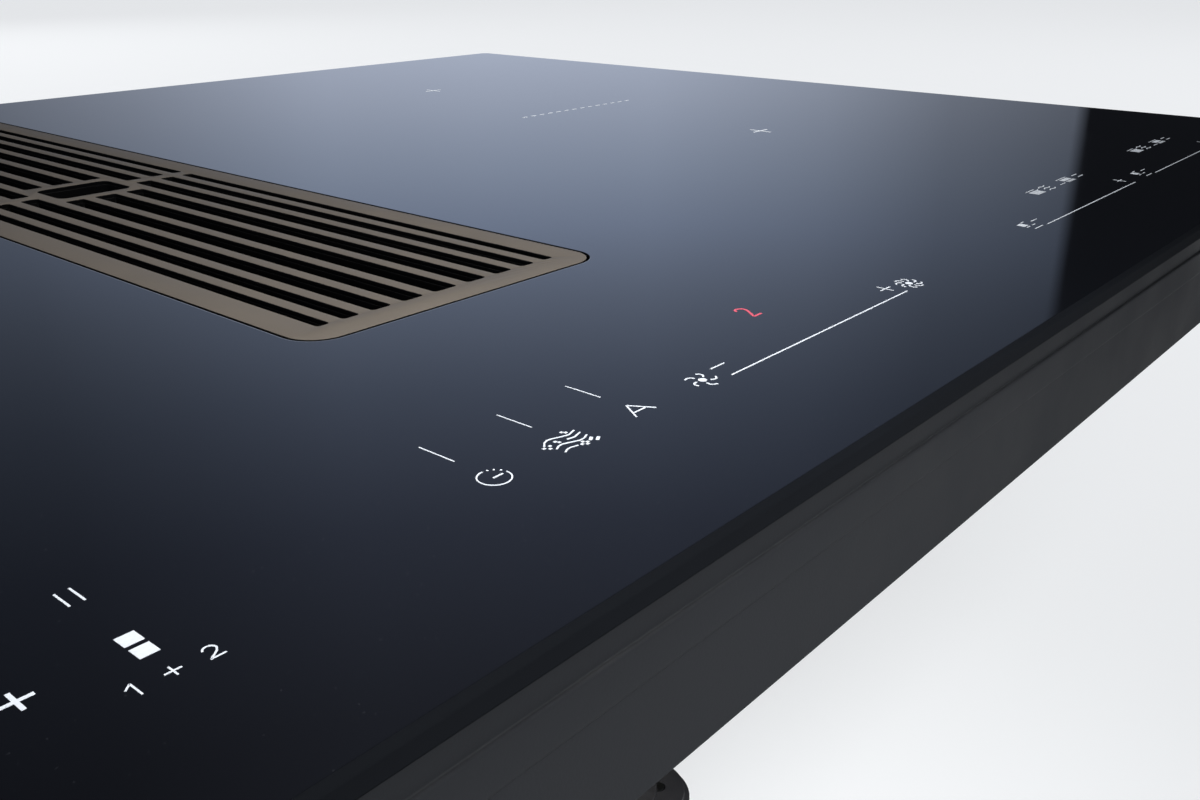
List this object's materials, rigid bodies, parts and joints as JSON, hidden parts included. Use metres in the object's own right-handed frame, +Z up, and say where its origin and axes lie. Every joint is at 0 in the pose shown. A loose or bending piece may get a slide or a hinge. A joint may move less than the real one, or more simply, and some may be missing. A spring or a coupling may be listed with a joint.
{
  "type": "downdraft induction cooktop",
  "caption": "Flush black glass induction hob with a slotted metal inlet grille in the middle, grease filter, and a centrifugal blower that exhausts through a flat duct at the rear",
  "frame": {"origin": "bottom centre of the bounding box: under the middle of the glass, on the plane the blower housing stands on", "axes": "+X to the user's right along the long side of the glass, +Y away from the user, +Z up"},
  "size_m": [0.8, 0.515, 0.21],
  "materials": {
    "glass_ceramic": "polished black glass-ceramic",
    "seal_foam": "closed-cell foam tape",
    "grille_metal": "bronze-tone satin anodised",
    "grille_black": "matt black coating",
    "silicone": "matt silicone",
    "black_moulding": "fine-grained black moulding",
    "stainless": "brushed stainless steel",
    "grey_moulding": "grey moulding",
    "coated_sheet": "dark powder-coated sheet",
    "zinc_sheet": "galvanised sheet with spangle",
    "aluminium_sheet": "mill-finish aluminium",
    "copper_litz": "enamelled copper winding",
    "ferrite": "sintered dark grey",
    "mica": "pale mica sheet",
    "white_moulding": "white moulding",
    "circuit_board": "green lacquered board",
    "display_lens": "dark red lens",
    "motor_steel": "turned steel",
    "screw_steel": "zinc-plated screws"
  },
  "bodies": {
    "housing": {"body_tray": "coated_sheet", "cable_gland": "grey_moulding", "clamp_screws": "screw_steel", "coil_former_front_left": "white_moulding", "coil_former_front_right": "white_moulding", "coil_former_rear_left": "white_moulding", "coil_former_rear_right": "white_moulding", "coil_plate_left": "aluminium_sheet", "coil_plate_right": "aluminium_sheet", "coil_winding_front_left": "copper_litz", "coil_winding_front_right": "copper_litz", "coil_winding_rear_left": "copper_litz", "coil_winding_rear_right": "copper_litz", "cooling_fan_frame_left": "black_moulding", "cooling_fan_frame_right": "black_moulding", "display_modules": "display_lens", "ferrite_bars": "ferrite", "glass_panel": "glass_ceramic", "hanger_brackets": "zinc_sheet", "heat_sinks": "aluminium_sheet", "housing_screws": "screw_steel", "inlet_collar": "black_moulding", "inlet_ring": "black_moulding", "insulation_sheets": "mica", "inverter_board_left": "circuit_board", "inverter_board_right": "circuit_board", "motor_bushes": "silicone", "motor_plate": "zinc_sheet", "motor_stator": "motor_steel", "outlet_spigot": "black_moulding", "plenum_cover": "black_moulding", "plenum_tub": "black_moulding", "scroll_cover": "black_moulding", "scroll_wall": "black_moulding", "spacer_posts": "white_moulding", "terminal_box": "grey_moulding", "terminal_lid": "grey_moulding", "touch_board": "circuit_board", "touch_carrier": "white_moulding", "well_body": "black_moulding", "well_gasket": "silicone", "worktop_seal": "seal_foam"},
    "grille": {"grille_plate": "grille_metal", "grille_body": "grille_black", "grille_feet": "silicone"},
    "filter": {"filter_frame": "stainless", "filter_mesh": "stainless", "filter_handle": "stainless"},
    "drip_tray": {"drip_tray": "grey_moulding"},
    "overflow_drawer": {"overflow_drawer": "grey_moulding"},
    "impeller": {"impeller": "black_moulding", "motor_rotor": "motor_steel"},
    "flap_upper": {"flap_upper": "black_moulding"},
    "flap_lower": {"flap_lower": "black_moulding"},
    "cooling_fan_left": {"cooling_fan_rotor_left": "black_moulding"},
    "clamp_front_left": {"clamp_arm_front_left": "zinc_sheet"},
    "clamp_rear_left": {"clamp_arm_rear_left": "zinc_sheet"},
    "cooling_fan_right": {"cooling_fan_rotor_right": "black_moulding"},
    "clamp_front_right": {"clamp_arm_front_right": "zinc_sheet"},
    "clamp_rear_right": {"clamp_arm_rear_right": "zinc_sheet"}
  },
  "joints": [
    {"name": "grille_lift", "type": "slide", "parent": "housing", "child": "grille", "axis": [0, 0, 1], "range_m": [0, 0.4]},
    {"name": "filter_lift", "type": "slide", "parent": "housing", "child": "filter", "axis": [0, 0, 1], "range_m": [0, 0.28]},
    {"name": "drip_tray_lift", "type": "slide", "parent": "housing", "child": "drip_tray", "axis": [0, 0, 1], "range_m": [0, 0.16]},
    {"name": "overflow_drawer_slide", "type": "slide", "parent": "housing", "child": "overflow_drawer", "axis": [0, -1, 0], "range_m": [0, 0.2]},
    {"name": "impeller_spin", "type": "hinge", "parent": "housing", "child": "impeller", "pos_m": [0.205, 0.04, 0.08], "axis": [0, 0, 1], "continuous": true},
    {"name": "flap_upper_swing", "type": "hinge", "parent": "housing", "child": "flap_upper", "pos_m": [0.2595, 0.217, 0.0805], "axis": [-1, 0, 0], "range_deg": [0, 75], "stiffness_Nm_per_rad": 0.02},
    {"name": "flap_lower_swing", "type": "hinge", "parent": "housing", "child": "flap_lower", "pos_m": [0.2595, 0.217, 0.0805], "axis": [1, 0, 0], "range_deg": [0, 75], "stiffness_Nm_per_rad": 0.02},
    {"name": "cooling_fan_left_spin", "type": "hinge", "parent": "housing", "child": "cooling_fan_left", "pos_m": [-0.324, -0.136, 0.164], "axis": [0, 0, 1], "continuous": true},
    {"name": "clamp_front_left_swivel", "type": "hinge", "parent": "housing", "child": "clamp_front_left", "pos_m": [-0.37, -0.15, 0.141], "axis": [0, 0, 1], "range_deg": [0, 90]},
    {"name": "clamp_rear_left_swivel", "type": "hinge", "parent": "housing", "child": "clamp_rear_left", "pos_m": [-0.37, 0.15, 0.141], "axis": [0, 0, -1], "range_deg": [0, 90]},
    {"name": "cooling_fan_right_spin", "type": "hinge", "parent": "housing", "child": "cooling_fan_right", "pos_m": [0.324, -0.136, 0.164], "axis": [0, 0, 1], "continuous": true},
    {"name": "clamp_front_right_swivel", "type": "hinge", "parent": "housing", "child": "clamp_front_right", "pos_m": [0.37, -0.15, 0.141], "axis": [0, 0, -1], "range_deg": [0, 90]},
    {"name": "clamp_rear_right_swivel", "type": "hinge", "parent": "housing", "child": "clamp_rear_right", "pos_m": [0.37, 0.15, 0.141], "axis": [0, 0, 1], "range_deg": [0, 90]}
  ],
  "couplings": [
    {"joint": "filter_lift", "follows": "grille_lift", "ratio": 0.7},
    {"joint": "drip_tray_lift", "follows": "grille_lift", "ratio": 0.4}
  ]
}
